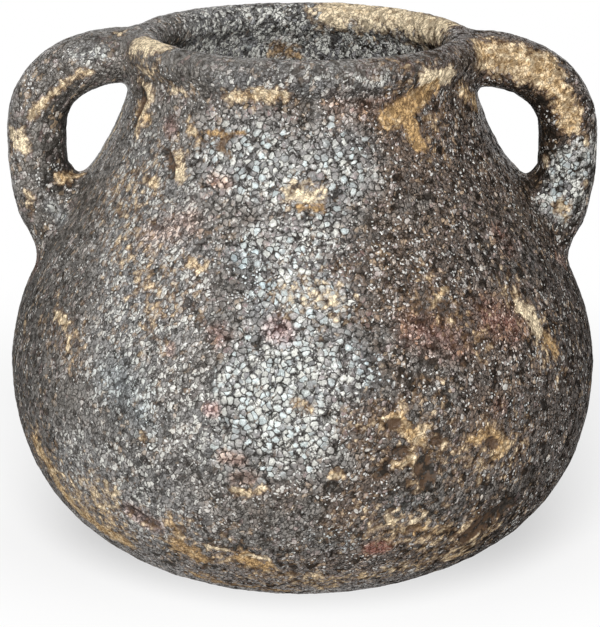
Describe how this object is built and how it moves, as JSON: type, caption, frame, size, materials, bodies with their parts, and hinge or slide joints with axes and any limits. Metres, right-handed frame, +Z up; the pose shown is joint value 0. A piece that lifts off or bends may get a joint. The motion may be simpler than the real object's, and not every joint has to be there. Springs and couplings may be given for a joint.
{
  "type": "handled jar",
  "caption": "Squat round-bellied ceramic jar with a rolled rim, a wide open mouth and thick loop handles from rim to shoulder, in a dark pitted crater glaze.",
  "frame": {"origin": "centre of the flat foot, on the surface that the jar stands on", "axes": "+Z up along the jar's axis, +X through the right handle, -Y towards the viewer of the picture"},
  "size_m": [0.196, 0.196, 0.1813],
  "materials": {
    "crater_glaze": "dark pitted crater glaze with glossy pale cells and ochre worn patches",
    "rim_glaze": "dark crater glaze, worn to ochre clay along the crest",
    "handle_glaze": "dark crater glaze, worn to ochre clay along the edges",
    "luting_glaze": "smeared clay under dark glaze, with ochre ridges",
    "bare_clay": "bare fired clay underneath, rough and gritty; dark glaze runs down over the edge"
  },
  "bodies": {
    "root": {"base_slab": "bare_clay", "lower_bowl": "crater_glaze", "shoulder_wall": "crater_glaze", "rim_roll": "rim_glaze", "right_handle": "handle_glaze", "right_upper_luting": "luting_glaze", "right_lower_luting": "luting_glaze", "left_handle": "handle_glaze", "left_upper_luting": "luting_glaze", "left_lower_luting": "luting_glaze"}
  },
  "joints": []
}
